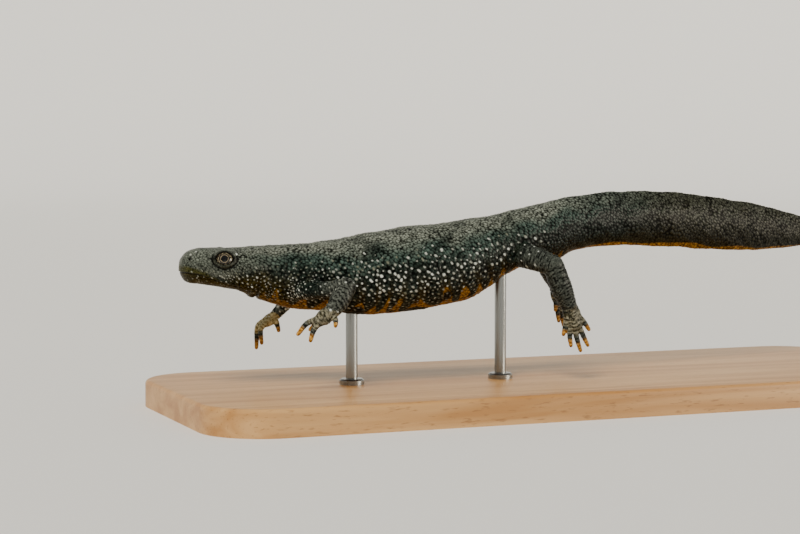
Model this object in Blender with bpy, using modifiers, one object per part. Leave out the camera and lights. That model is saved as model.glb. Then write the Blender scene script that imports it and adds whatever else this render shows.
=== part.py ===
"""A female great crested newt, life size, hovering just over a plain display stand.

Sizes are in millimetres until a mesh is written, which is in metres. +X runs from the snout to the tail,
+Z is up, and the newt's left side faces -Y. The origin is the middle of the underside of the stand.
"""

import math

import bmesh
import bpy
import numpy as np
from mathutils import Matrix, Vector

MM = 0.001
# Clear gap between neighbouring pieces
GAP = 0.3
RING_POINTS = 28
LIMB_POINTS, DIGIT_POINTS = 14, 7

# The stand
BASE_LENGTH, BASE_WIDTH, BASE_HEIGHT = 152.0, 58.0, 5.0
BASE_CORNER, BASE_CHAMFER = 12.0, 0.8
ROD_RADIUS, SOCKET_DEPTH = 1.1, 2.5
COLLAR_RADIUS, COLLAR_HEIGHT = 2.3, 0.8
ROD_STATIONS = {"front": 32.0, "rear": 62.0}

# The body's own line, from the tip of the snout to the tip of the tail
BODY_LENGTH = 149.0
SNOUT = Vector((-73.4, 3.8, 27.4))
# Along the body, heading and climb in degrees: it bends to the right and lifts at the hips
BODY_COURSE = (
    (0.0, -10.0, -1.5),
    (13.0, -10.0, -2.5),
    (18.0, -9.5, -6.0),
    (25.0, -8.5, -4.3),
    (33.0, -7.0, 1.0),
    (41.0, -5.5, 5.5),
    (49.0, -3.5, 9.5),
    (55.0, -1.5, 14.5),
    (62.0, 1.0, 16.5),
    (70.0, 4.0, 13.0),
    (79.0, 7.0, 7.5),
    (89.0, 9.5, 1.5),
    (98.0, 10.2, -2.5),
    (111.0, 11.0, -5.4),
    (126.0, 12.0, -5.4),
    (149.0, 14.0, -3.0),
)

# Along the body: half width, height above and below the line, and how pinched the side and the edge are
# (1 is an ellipse, less is boxy, more is a blade)
BODY_SECTIONS = (
    (0.0, 3.5, 2.5, 3.0, 0.85, 0.90),
    (2.0, 3.95, 2.95, 3.0, 0.85, 0.90),
    (4.0, 4.3, 3.42, 3.15, 0.85, 0.90),
    (7.5, 4.85, 3.5, 3.75, 0.85, 0.90),
    (11.0, 5.6, 3.65, 4.25, 0.85, 0.90),
    (13.5, 5.55, 3.9, 5.1, 0.90, 0.95),
    (16.5, 5.0, 4.2, 6.0, 0.95, 1.00),
    (20.5, 5.2, 4.8, 6.75, 1.00, 1.00),
    (25.0, 6.0, 5.6, 6.85, 1.00, 1.00),
    (30.0, 6.7, 6.4, 7.15, 1.00, 0.95),
    (36.0, 7.5, 7.4, 7.75, 1.00, 0.95),
    (44.0, 7.9, 7.75, 7.75, 1.00, 0.95),
    (52.0, 7.3, 7.25, 7.7, 1.00, 0.95),
    (57.0, 6.2, 6.7, 6.6, 1.00, 1.00),
    (61.5, 5.2, 6.0, 5.4, 1.00, 1.00),
    (66.0, 4.7, 5.6, 5.0, 1.00, 1.00),
    (72.5, 4.0, 5.3, 5.5, 1.05, 1.00),
    (78.0, 3.2, 5.4, 4.95, 1.25, 1.00),
    (88.0, 2.6, 5.45, 5.2, 1.50, 1.00),
    (100.0, 2.2, 5.45, 5.5, 1.60, 1.00),
    (110.0, 1.9, 5.3, 5.5, 1.60, 1.00),
    (120.0, 1.6, 4.95, 5.1, 1.60, 1.00),
    (128.0, 1.3, 4.4, 4.5, 1.60, 1.00),
    (136.0, 1.05, 3.4, 3.5, 1.50, 1.00),
    (143.0, 0.8, 2.1, 2.2, 1.30, 1.00),
    (149.0, 0.45, 0.6, 0.6, 1.00, 1.00),
)
MUZZLE_ROUND, TAIL_ROUND = 2.6, 1.2

# Where each length of the body starts, and the spacing of its rings
BODY_LENGTHS = (
    ("neck", 14.6, 19.2, 2.2),
    ("chest", 19.2, 34.0, 2.4),
    ("belly", 34.0, 48.0, 2.8),
    ("loin", 48.0, 59.6, 2.4),
    ("pelvis", 59.6, 76.0, 2.3),
    ("tail_root", 76.0, 98.0, 2.75),
    ("tail_middle", 98.0, 122.0, 3.0),
    ("tail_end", 122.0, 149.0, 2.2),
)
HEAD_END = 14.6

# The head's features, as (along, out to the side, up) from the line
EYE_CENTRE = (7.9, 3.75, 1.45)
EYE_RADIUS = 1.7
LID_THICKNESS = 0.4
# Half length and half height of the opening between the lids
LID_OPENING = (1.65, 1.2)
# How far the eye looks forward and up, in degrees
EYE_FORWARD, EYE_UP = 12.0, 14.0
NOSTRIL_STATION, NOSTRIL_ANGLE, NOSTRIL_RADIUS = 1.4, 36.0, 0.36
# The line of the mouth, as (along, up), ending at the corner under the eye's rear edge
MOUTH_LINE = ((-1.0, -0.95), (0.8, -1.0), (2.6, -1.1), (4.4, -1.55), (6.4, -2.3), (8.6, -2.9), (10.4, -3.25))
JAW_HINGE = ((11.3, -3.5), (11.7, -6.5))
LIP_OVERHANG = 0.2


def smooth_between(x, known, values):
    """A curve through the known values with no overshoot, by monotone cubic pieces."""
    known, values = np.asarray(known, float), np.asarray(values, float)
    step = np.diff(known)
    slope = np.diff(values) / step
    tangent = np.zeros_like(values)
    tangent[0], tangent[-1] = slope[0], slope[-1]
    same_way = slope[:-1] * slope[1:] > 0
    inner = np.zeros(len(slope) - 1)
    inner[same_way] = 2 / (1 / slope[:-1][same_way] + 1 / slope[1:][same_way])
    tangent[1:-1] = inner
    i = np.clip(np.searchsorted(known, x) - 1, 0, len(step) - 1)
    t = (x - known[i]) / step[i]
    low = (1 + 2 * t) * (1 - t) ** 2 * values[i] + t * (1 - t) ** 2 * step[i] * tangent[i]
    high = t * t * (3 - 2 * t) * values[i + 1] + t * t * (t - 1) * step[i] * tangent[i + 1]
    return low + high


def course_frame(heading, climb):
    """The body's own axes: along it to the tail, out to its right, and up."""
    along = Vector(
        (
            math.cos(math.radians(heading)) * math.cos(math.radians(climb)),
            math.sin(math.radians(heading)) * math.cos(math.radians(climb)),
            math.sin(math.radians(climb)),
        )
    )
    right = Vector((0, 0, 1)).cross(along).normalized()
    return along, right, along.cross(right)


def walk_body():
    """Steps down the body's line and returns the places that it passes, one for each step."""
    course = np.array(BODY_COURSE)
    places, point, step = [], SNOUT.copy(), 0.25
    for station in np.arange(0.0, BODY_LENGTH + step, step):
        heading = float(smooth_between(station, course[:, 0], course[:, 1]))
        climb = float(smooth_between(station, course[:, 0], course[:, 2]))
        axes = course_frame(heading, climb)
        places.append((station, point.copy(), axes))
        point += axes[0] * step
    return places


BODY_PLACES = walk_body()
BODY_STEP = BODY_PLACES[1][0] - BODY_PLACES[0][0]


def body_matrix(station):
    """The frame at a station: X along the body, Y out to its right, Z up, in millimetres."""
    i = min(max(int(station / BODY_STEP), 0), len(BODY_PLACES) - 2)
    near, point, axes = BODY_PLACES[i]
    matrix = Matrix.Identity(4)
    for column, axis in enumerate(axes):
        for row in range(3):
            matrix[row][column] = axis[row]
    matrix.translation = point + axes[0] * (station - near)
    return matrix


def body_point(station, out, up):
    return body_matrix(station) @ Vector((0, out, up))


def section_sizes(station):
    """Half width, heights above and below, and the two pinches, with the muzzle and tail rounded off."""
    table = np.array(BODY_SECTIONS)
    sizes = [float(smooth_between(station, table[:, 0], table[:, k])) for k in range(1, 6)]
    rounding = 1.0
    if station < MUZZLE_ROUND:
        rounding = max(1 - (1 - max(station, 0.0) / MUZZLE_ROUND) ** 2.4, 0.0) ** (1 / 2.4)
    if station > BODY_LENGTH - TAIL_ROUND:
        rounding = math.sqrt(max(1 - ((station - BODY_LENGTH) / TAIL_ROUND + 1) ** 2, 0.0))
    return [size * max(rounding, 0.12) for size in sizes[:3]] + sizes[3:]


def skin_point(station, angle, grow=0.0):
    """A point of the skin: angle 0 is the right side and 90 degrees the back."""
    width, above, below, pinch_side, pinch_edge = section_sizes(station)
    c, s = math.cos(angle), math.sin(angle)
    height = (above if s > 0 else below) + grow
    out = (width + grow) * math.copysign(abs(c) ** pinch_side, c)
    up = height * math.copysign(abs(s) ** pinch_edge, s)
    return body_point(station, out, up)


def skin_ring(station, count=RING_POINTS, grow=0.0):
    return [skin_point(station, 2 * math.pi * k / count, grow) for k in range(count)]


def material(name, colour, roughness, metallic=0.0):
    made = bpy.data.materials.new(name)
    made.use_nodes = True
    shader = made.node_tree.nodes["Principled BSDF"]
    shader.inputs["Base Color"].default_value = (*colour, 1)
    shader.inputs["Roughness"].default_value = roughness
    shader.inputs["Metallic"].default_value = metallic
    made.diffuse_color = (*colour, 1)
    return made


def add_object(name, mesh, look, collection):
    made = bpy.data.objects.new(name, mesh)
    if look:
        mesh.materials.append(look)
    collection.objects.link(made)
    return made


def loft(name, rings, look, collection):
    """One closed body through the rings, which all have as many points."""
    bm = bmesh.new()
    rows = [[bm.verts.new(point * MM) for point in ring] for ring in rings]
    count = len(rows[0])
    for one, two in zip(rows, rows[1:]):
        for k in range(count):
            bm.faces.new((one[k], one[(k + 1) % count], two[(k + 1) % count], two[k]))
    bm.faces.new(reversed(rows[0]))
    bm.faces.new(rows[-1])
    bmesh.ops.recalc_face_normals(bm, faces=bm.faces)
    mesh = bpy.data.meshes.new(name)
    bm.to_mesh(mesh)
    bm.free()
    mesh.shade_smooth()
    mesh.set_sharp_from_angle(angle=math.radians(50))
    return add_object(name, mesh, look, collection)


def apply_modifiers(obj):
    """Writes what the modifiers make into the object's own mesh."""
    graph = bpy.context.evaluated_depsgraph_get()
    mesh = bpy.data.meshes.new_from_object(obj.evaluated_get(graph))
    obj.modifiers.clear()
    obj.data = mesh


def keep_largest(obj):
    """Drops any scrap that a cut or a join left loose."""
    bm = bmesh.new()
    bm.from_mesh(obj.data)
    left, bodies = set(bm.verts), []
    while left:
        body, edge = set(), [left.pop()]
        while edge:
            vert = edge.pop()
            body.add(vert)
            for link in vert.link_edges:
                other = link.other_vert(vert)
                if other in left:
                    left.remove(other)
                    edge.append(other)
        bodies.append(body)
    bodies.sort(key=len)
    for body in bodies[:-1]:
        bmesh.ops.delete(bm, geom=list(body), context="VERTS")
    bm.to_mesh(obj.data)
    bm.free()


def combine(obj, others, operation, solver="EXACT"):
    """Joins, cuts or crops obj with the other objects, which are then removed."""
    group = bpy.data.collections.new("combined")
    for other in others:
        group.objects.link(other)
    modifier = obj.modifiers.new(operation.title(), "BOOLEAN")
    modifier.operation = operation
    modifier.solver = solver
    if operation == "INTERSECT":
        modifier.object = others[0]
    else:
        modifier.operand_type = "COLLECTION"
        modifier.collection = group
    apply_modifiers(obj)
    for other in others:
        bpy.data.objects.remove(other)
    bpy.data.collections.remove(group)
    keep_largest(obj)
    return obj


def stations(start, end, spacing):
    count = max(round((end - start) / spacing), 1)
    return [start + (end - start) * k / count for k in range(count + 1)]


def head_rings(start, end, grow=0.0):
    """Rings that crowd together round the muzzle."""
    muzzle = [MUZZLE_ROUND * (1 - math.cos(math.radians(a))) for a in (0, 14, 28, 42, 56, 70)]
    rest = stations(MUZZLE_ROUND * 0.86, end, 0.75)
    return [skin_ring(s, grow=grow) for s in muzzle + rest if s >= start]


def eye_matrix(side):
    """The eye's frame: X the way it looks, Y to its front and Z up, in millimetres."""
    along, out, up = EYE_CENTRE
    place = body_matrix(along) @ Matrix.Translation((0, side * out, up))
    turn = Matrix.Rotation(math.radians(side * (90 + EYE_FORWARD)), 4, "Z")
    return place @ turn @ Matrix.Rotation(math.radians(-EYE_UP), 4, "Y")


def ball(name, matrix, radii, look, collection, segments=20, rings=12):
    """A sphere primitive, stretched to three radii, in a frame given in millimetres."""
    bpy.ops.mesh.primitive_uv_sphere_add(segments=segments, ring_count=rings, radius=1)
    made = bpy.context.object
    stretch = Matrix.Diagonal((*radii, 1))
    made.data.transform(Matrix.Rotation(math.radians(90), 4, "Y"))
    made.data.transform(Matrix.Scale(MM, 4) @ matrix @ stretch)
    made.name = made.data.name = name
    made.data.shade_smooth()
    if look:
        made.data.materials.append(look)
    for owner in list(made.users_collection):
        owner.objects.unlink(made)
    collection.objects.link(made)
    return made


def lid_cutter(side, collection):
    """A short elliptical funnel that opens the lids over the eye."""
    frame = eye_matrix(side)
    rings = []
    for reach, spread in ((0.35, 0.92), (1.3, 1.0), (3.2, 1.35)):
        ring = []
        for k in range(20):
            a = 2 * math.pi * k / 20
            ring.append(
                frame
                @ Vector(
                    (reach, LID_OPENING[0] * spread * math.cos(a), LID_OPENING[1] * spread * math.sin(a))
                )
            )
        rings.append(ring)
    return loft("lid_cutter", rings, None, collection)


def jaw_block(shift, collection):
    """The space of the lower jaw: under the line of the mouth and in front of the jaw's hinge."""
    outline = [(along, up + shift) for along, up in MOUTH_LINE]
    outline += [(along + shift, up + shift) for along, up in JAW_HINGE]
    outline += [(JAW_HINGE[1][0] + shift, -12.0), (-1.0, -12.0)]
    frame = body_matrix(0.0)
    rings = [[frame @ Vector((along, out, up)) for along, up in outline] for out in (-12.0, 12.0)]
    return loft("jaw_block", rings, None, collection)


def make_head(looks, collection):
    """The head in one body with its lids, and the lower jaw as a piece of its own."""
    back, jaw_look = looks["slate skin"], looks["throat skin"]
    head = loft("head", head_rings(0.0, HEAD_END - GAP / 2), back, collection)
    orbits = []
    for side in (1, -1):
        shell = EYE_RADIUS + GAP + LID_THICKNESS
        orbits.append(
            ball("orbit", eye_matrix(side), (shell * 0.98, shell * 1.04, shell * 0.80), None, collection)
        )
    combine(head, orbits, "UNION")
    cutters = []
    for side in (1, -1):
        socket = EYE_RADIUS + GAP
        cutters.append(ball("socket", eye_matrix(side), (socket, socket, socket), None, collection))
        cutters.append(lid_cutter(side, collection))
        angle = math.radians(NOSTRIL_ANGLE if side > 0 else 180 - NOSTRIL_ANGLE)
        hole = Matrix.Translation(skin_point(NOSTRIL_STATION, angle))
        cutters.append(ball("nostril", hole, (NOSTRIL_RADIUS,) * 3, None, collection, 8, 6))
    combine(head, cutters, "DIFFERENCE")
    jaw = loft("lower_jaw", head_rings(0.0, HEAD_END - GAP / 2, -LIP_OVERHANG), jaw_look, collection)
    combine(head, [jaw_block(GAP / 2, collection)], "DIFFERENCE")
    combine(jaw, [jaw_block(-GAP / 2, collection)], "INTERSECT")
    for side, name in ((-1, "eye_left"), (1, "eye_right")):
        ball(name, eye_matrix(side), (EYE_RADIUS,) * 3, looks["eye"], collection, 20, 12)


def make_body(looks, collection):
    for name, start, end, spacing in BODY_LENGTHS:
        first = start + GAP / 2
        last = end - GAP / 2 if end < BODY_LENGTH else end
        places = stations(first, last, spacing)
        if last == BODY_LENGTH:
            places = stations(first, last - TAIL_ROUND, spacing)
            places += [BODY_LENGTH - TAIL_ROUND * (1 - math.sin(math.radians(a))) for a in (35, 65, 90)]
        loft(name, [skin_ring(s) for s in places], looks["slate skin"], collection)


# Legs, each place as (along the body, out from its middle plane, up), with the radius there in the two bones.
# The foot is a flat plate from the wrist or ankle to the knuckles, which faces one way, and its digits.
LEGS = {
    "foreleg_left": {
        "upper": ((21.8, 2.6, -3.2, 2.1), (25.2, 7.7, -2.7, 1.45), (28.9, 9.3, -1.9, 1.6)),
        "lower": ((28.9, 9.3, -1.9, 1.75), (27.8, 10.2, -4.1, 1.75), (26.3, 10.8, -6.4, 1.35)),
        "plate": ((26.3, 10.8, -6.4, 1.3), (25.1, 11.1, -7.3, 1.45), (24.2, 11.2, -8.1, 1.1)),
        "faces": (0.25, 1.0, 0.25),
        "digits": (
            ((25.0, 10.6, -7.6), (24.0, 9.9, -8.8), (23.2, 9.5, -9.8)),
            ((24.6, 11.0, -7.5), (22.3, 11.2, -8.6), (20.9, 11.5, -10.6)),
            ((24.5, 11.2, -8.0), (23.4, 11.5, -9.8), (23.0, 11.8, -11.6)),
            ((26.3, 11.4, -7.0), (26.9, 11.8, -7.7), (26.9, 12.0, -8.7)),
        ),
    },
    "foreleg_right": {
        "upper": ((21.6, 2.6, -3.4, 2.1), (22.4, 7.0, -4.2, 1.55), (23.0, 9.8, -5.2, 1.3)),
        "lower": ((23.0, 9.8, -5.2, 1.35), (21.5, 9.9, -7.3, 1.2), (20.0, 10.0, -9.3, 0.95)),
        "plate": ((20.0, 10.0, -9.3, 0.95), (19.3, 10.0, -10.0, 1.2), (18.6, 10.0, -10.6, 1.05)),
        "faces": (0.55, 1.0, -0.25),
        "digits": (
            ((19.9, 9.5, -9.6), (20.5, 9.2, -10.7), (20.9, 9.0, -11.9)),
            ((18.9, 9.5, -10.3), (17.4, 8.9, -12.2), (17.9, 8.7, -14.5)),
            ((18.7, 10.1, -10.4), (16.9, 10.3, -12.3), (17.2, 10.5, -15.6)),
            ((18.7, 10.7, -10.1), (17.2, 11.6, -11.8), (17.4, 12.2, -13.9)),
        ),
    },
    "hindleg_left": {
        "upper": ((63.4, 2.0, -1.6, 2.5), (65.0, 6.8, -3.2, 2.2), (67.0, 9.5, -4.9, 1.9)),
        "lower": ((67.0, 9.5, -4.9, 1.95), (67.4, 9.9, -9.0, 2.0), (68.1, 10.1, -12.8, 1.5)),
        "plate": ((68.1, 10.1, -12.8, 1.5), (68.4, 10.1, -15.0, 1.9), (68.6, 10.2, -16.6, 1.7)),
        "faces": (0.1, 1.0, 0.1),
        "digits": (
            ((67.2, 10.0, -15.0), (66.2, 10.0, -16.8), (65.5, 9.9, -18.0)),
            ((67.6, 10.1, -15.8), (66.7, 10.3, -18.4), (66.4, 10.3, -20.4)),
            ((68.3, 10.2, -16.0), (68.1, 10.5, -19.2), (68.3, 10.6, -21.8)),
            ((69.0, 10.2, -15.8), (69.6, 10.6, -18.8), (70.3, 10.7, -21.2)),
            ((69.4, 10.2, -15.0), (70.6, 10.5, -16.8), (71.4, 10.6, -18.4)),
        ),
    },
    "hindleg_right": {
        "upper": ((64.2, 1.8, -1.6, 2.5), (69.2, 5.0, -3.4, 2.2), (74.0, 6.3, -4.8, 1.9)),
        "lower": ((74.0, 6.3, -4.8, 1.95), (75.9, 7.1, -8.4, 2.0), (77.6, 7.7, -11.8, 1.5)),
        "plate": ((77.6, 7.7, -11.8, 1.5), (78.3, 7.9, -14.0, 1.9), (78.7, 8.0, -15.5, 1.7)),
        "faces": (-0.2, 1.0, 0.1),
        "digits": (
            ((77.5, 7.7, -14.0), (76.8, 7.4, -15.8), (76.3, 7.2, -17.0)),
            ((77.8, 7.9, -14.8), (77.4, 7.8, -17.4), (77.3, 7.7, -19.4)),
            ((78.5, 8.0, -15.0), (78.8, 8.2, -18.2), (79.2, 8.3, -20.6)),
            ((79.1, 8.1, -14.8), (80.2, 8.5, -17.6), (81.1, 8.8, -19.8)),
            ((79.5, 8.2, -14.0), (81.0, 8.7, -15.6), (82.0, 9.0, -17.0)),
        ),
    },
}
PLATE_THICKNESS = 0.55
DIGIT_RADII = (0.62, 0.52, 0.38)


def curve_through(places, count):
    """Points and radii along a smooth curve through the places, evenly spread from one to the next."""
    array = np.array(places, float)
    known = np.arange(len(places))
    wanted = np.linspace(0, len(places) - 1, count)
    columns = [smooth_between(wanted, known, array[:, k]) for k in range(array.shape[1])]
    return [Vector(row[:3]) for row in np.stack(columns, axis=1)], [float(r) for r in columns[3]]


def tube(name, places, count, sides, look, collection, faces=None, squash=1.0):
    """A bent tube with domed ends. Where it faces one way, it is squashed flat that way."""
    centres, radii = curve_through(places, count)
    for end, inner in ((0, 1), (-1, -2)):
        way = (centres[end] - centres[inner]).normalized() * radii[end]
        extra = [(centres[end] + way * 0.55, radii[end] * 0.83), (centres[end] + way * 0.9, radii[end] * 0.42)]
        if end == 0:
            centres = [c for c, r in reversed(extra)] + centres
            radii = [r for c, r in reversed(extra)] + radii
        else:
            centres = centres + [c for c, r in extra]
            radii = radii + [r for c, r in extra]
    rings = []
    guide = faces if faces is not None else Vector((0.12, 0.31, 0.94))
    for i, centre in enumerate(centres):
        before, after = centres[max(i - 1, 0)], centres[min(i + 1, len(centres) - 1)]
        along = (after - before).normalized()
        thin = (guide - guide.dot(along) * along).normalized()
        wide = along.cross(thin)
        ring = []
        for k in range(sides):
            a = 2 * math.pi * k / sides
            ring.append(centre + radii[i] * (math.cos(a) * wide + squash * math.sin(a) * thin))
        rings.append(ring)
    return loft(name, rings, look, collection)


def half_space(point, way, collection):
    """A block that fills the side of a plane that the way points to."""
    bpy.ops.mesh.primitive_cube_add(size=60 * MM)
    made = bpy.context.object
    made.name = "half_space"
    turn = way.to_track_quat("Z", "Y").to_matrix().to_4x4()
    made.data.transform(Matrix.Translation(point * MM) @ turn @ Matrix.Translation((0, 0, 30 * MM)))
    for owner in list(made.users_collection):
        owner.objects.unlink(made)
    collection.objects.link(made)
    return made


def body_space(start, end, collection):
    """The body's own space with the gap round it, to be cut out of what meets it."""
    return loft("body_space", [skin_ring(s, grow=GAP) for s in stations(start, end, 2.0)], None, collection)


def make_leg(name, plan, looks, collection):
    """Upper bone, lower bone and foot, each a piece of its own, meeting across the gap."""
    look = looks["slate skin"]
    kind, side = name.split("_")
    names = ("upper_arm", "forearm", "hand") if kind == "foreleg" else ("thigh", "shank", "foot")
    names = [f"{one}_{side}" for one in names]
    sign = -1 if side == "left" else 1

    def place(spot):
        return (*body_point(spot[0], sign * spot[1], spot[2]), *(spot[3:] or (0,)))

    upper_places = [place(spot) for spot in plan["upper"]]
    lower_places = [place(spot) for spot in plan["lower"]]
    plate_places = [place(spot) for spot in plan["plate"]]
    centres, radii = curve_through(upper_places, 9)
    coming = (centres[-1] - centres[-2]).normalized()
    centres, radii = curve_through(lower_places, 9)
    going = (centres[1] - centres[0]).normalized()
    arriving = (centres[-1] - centres[-2]).normalized()
    bend = (coming + going).normalized()
    joint, wrist = Vector(lower_places[0][:3]), Vector(lower_places[-1][:3])

    upper = tube(names[0], upper_places, 7, LIMB_POINTS, look, collection)
    start = plan["upper"][0][0]
    space = body_space(start - 9, start + 13, collection)
    combine(upper, [space, half_space(joint - bend * GAP / 2, bend, collection)], "DIFFERENCE")
    lower = tube(names[1], lower_places, 7, LIMB_POINTS, look, collection)
    combine(
        lower,
        [
            half_space(joint + bend * GAP / 2, -bend, collection),
            half_space(wrist - arriving * GAP / 2, arriving, collection),
        ],
        "DIFFERENCE",
    )
    frame = body_matrix(plan["plate"][1][0]).to_3x3()
    faces = frame @ Vector((plan["faces"][0], sign * plan["faces"][1], plan["faces"][2]))
    foot = tube(names[2], plate_places, 5, LIMB_POINTS, look, collection, faces, PLATE_THICKNESS)
    digits = []
    for digit in plan["digits"]:
        places = [(*place(spot)[:3], r) for spot, r in zip(digit, DIGIT_RADII)]
        digits.append(tube("digit", places, 5, DIGIT_POINTS, None, collection, faces, 0.85))
    combine(foot, digits, "UNION")
    combine(foot, [half_space(wrist + arriving * GAP / 2, -arriving, collection)], "DIFFERENCE")


def turned(name, profile, look, collection):
    """A turned piece from its outline, given from the top down as (radius, height)."""
    mesh = bpy.data.meshes.new(name)
    points = [(radius * MM, 0, height * MM) for radius, height in profile]
    mesh.from_pydata(points, [(k, k + 1) for k in range(len(points) - 1)], [])
    made = add_object(name, mesh, look, collection)
    screw = made.modifiers.new("Turned", "SCREW")
    screw.steps = screw.render_steps = 20
    screw.use_merge_vertices = True
    screw.merge_threshold = 0.00001
    apply_modifiers(made)
    return made


def make_stand(looks, collection):
    """A wooden base with two metal rods, whose tops are cut to the belly that they hold."""
    bm = bmesh.new()
    bmesh.ops.create_cube(bm, size=1)
    size = Vector((BASE_LENGTH, BASE_WIDTH, BASE_HEIGHT)) * MM
    bmesh.ops.scale(bm, vec=size, verts=bm.verts)
    bmesh.ops.translate(bm, vec=(0, 0, BASE_HEIGHT / 2 * MM), verts=bm.verts)
    upright = [e for e in bm.edges if abs(e.verts[0].co.z - e.verts[1].co.z) > 0.001]
    bmesh.ops.bevel(bm, geom=upright, offset=BASE_CORNER * MM, segments=8, profile=0.5, affect="EDGES")
    top = [e for e in bm.edges if all(v.co.z > BASE_HEIGHT * MM * 0.9 for v in e.verts)]
    bmesh.ops.bevel(bm, geom=top, offset=BASE_CHAMFER * MM, segments=2, profile=0.5, affect="EDGES")
    mesh = bpy.data.meshes.new("stand_base")
    bm.to_mesh(mesh)
    bm.free()
    mesh.shade_smooth()
    mesh.set_sharp_from_angle(angle=math.radians(30))
    base = add_object("stand_base", mesh, looks["beech"], collection)
    for place, station in ROD_STATIONS.items():
        foot = body_point(station, 0, 0)
        foot.z = BASE_HEIGHT - SOCKET_DEPTH
        profile = (
            (0.0, foot.z + 30),
            (ROD_RADIUS, foot.z + 30),
            (ROD_RADIUS, BASE_HEIGHT + COLLAR_HEIGHT + GAP),
            (COLLAR_RADIUS - 0.3, BASE_HEIGHT + COLLAR_HEIGHT + GAP),
            (COLLAR_RADIUS, BASE_HEIGHT + COLLAR_HEIGHT + GAP - 0.3),
            (COLLAR_RADIUS, BASE_HEIGHT + GAP),
            (ROD_RADIUS, BASE_HEIGHT + GAP),
            (ROD_RADIUS, foot.z + GAP),
            (0.0, foot.z + GAP),
        )
        rod = turned(f"stand_rod_{place}", profile, looks["steel"], collection)
        rod.data.transform(Matrix.Translation((foot.x * MM, foot.y * MM, 0)))
        mesh_space = body_space(station - 8, station + 8, collection)
        combine(rod, [mesh_space], "DIFFERENCE")
        rod.data.set_sharp_from_angle(angle=math.radians(40))
        hole = turned(
            "socket", ((0, 12), (ROD_RADIUS + GAP, 12), (ROD_RADIUS + GAP, foot.z), (0, foot.z)), None, collection
        )
        hole.data.transform(Matrix.Translation((foot.x * MM, foot.y * MM, 0)))
        combine(base, [hole], "DIFFERENCE")


def main():
    for obj in list(bpy.data.objects):
        bpy.data.objects.remove(obj)
    collection = bpy.data.collections.new("great_crested_newt")
    bpy.context.scene.collection.children.link(collection)
    looks = {
        "slate skin": material("slate skin", (0.045, 0.046, 0.047), 0.45),
        "throat skin": material("throat skin", (0.11, 0.07, 0.035), 0.45),
        "eye": material("eye", (0.55, 0.36, 0.12), 0.1),
        "beech": material("beech", (0.55, 0.36, 0.2), 0.5),
        "steel": material("steel", (0.6, 0.6, 0.6), 0.3, 1.0),
    }
    make_head(looks, collection)
    make_body(looks, collection)
    for name, plan in LEGS.items():
        make_leg(name, plan, looks, collection)
    make_stand(looks, collection)


main()
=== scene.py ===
"""A female great crested newt, life size, swimming just above a plain display stand."""

import math

import bmesh
import bpy
import numpy as np
from mathutils import Matrix, Vector, kdtree


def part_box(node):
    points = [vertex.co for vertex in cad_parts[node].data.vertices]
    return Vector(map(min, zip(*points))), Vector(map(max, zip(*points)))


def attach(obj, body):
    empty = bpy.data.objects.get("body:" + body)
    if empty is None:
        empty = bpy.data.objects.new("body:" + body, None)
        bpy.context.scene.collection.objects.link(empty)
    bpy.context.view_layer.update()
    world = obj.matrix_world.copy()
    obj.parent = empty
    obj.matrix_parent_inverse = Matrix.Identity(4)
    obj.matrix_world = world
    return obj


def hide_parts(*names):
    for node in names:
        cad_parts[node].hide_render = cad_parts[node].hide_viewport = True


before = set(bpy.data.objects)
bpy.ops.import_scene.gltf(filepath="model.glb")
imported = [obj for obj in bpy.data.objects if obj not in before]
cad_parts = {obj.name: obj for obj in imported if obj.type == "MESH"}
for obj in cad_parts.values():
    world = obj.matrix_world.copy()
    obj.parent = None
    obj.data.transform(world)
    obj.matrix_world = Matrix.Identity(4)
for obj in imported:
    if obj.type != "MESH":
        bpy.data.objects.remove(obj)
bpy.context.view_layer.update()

# Body and tail
# One long form from snout to tail tip, with the photo's bend to its right and its lift at the hips. It is
# drawn in millimetres as rings across a line, the same line as the solids follow, but far finer.
MM = 0.001
LENGTH = 149.0
# Where the line starts, at the tip of the snout
SNOUT = np.array((-73.4, 3.8, 27.4))
# Along the body, heading and climb in degrees
course = np.array(
    (
        (0.0, -10.0, -1.5),
        (13.0, -10.0, -2.5),
        (18.0, -9.5, -6.0),
        (25.0, -8.5, -4.3),
        (33.0, -7.0, 1.0),
        (41.0, -5.5, 5.5),
        (49.0, -3.5, 9.5),
        (55.0, -1.5, 14.5),
        (62.0, 1.0, 16.5),
        (70.0, 4.0, 13.0),
        (79.0, 7.0, 7.5),
        (89.0, 9.5, 1.5),
        (98.0, 10.2, -2.5),
        (111.0, 11.0, -5.4),
        (126.0, 12.0, -5.4),
        (149.0, 14.0, -3.0),
    )
)
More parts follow.
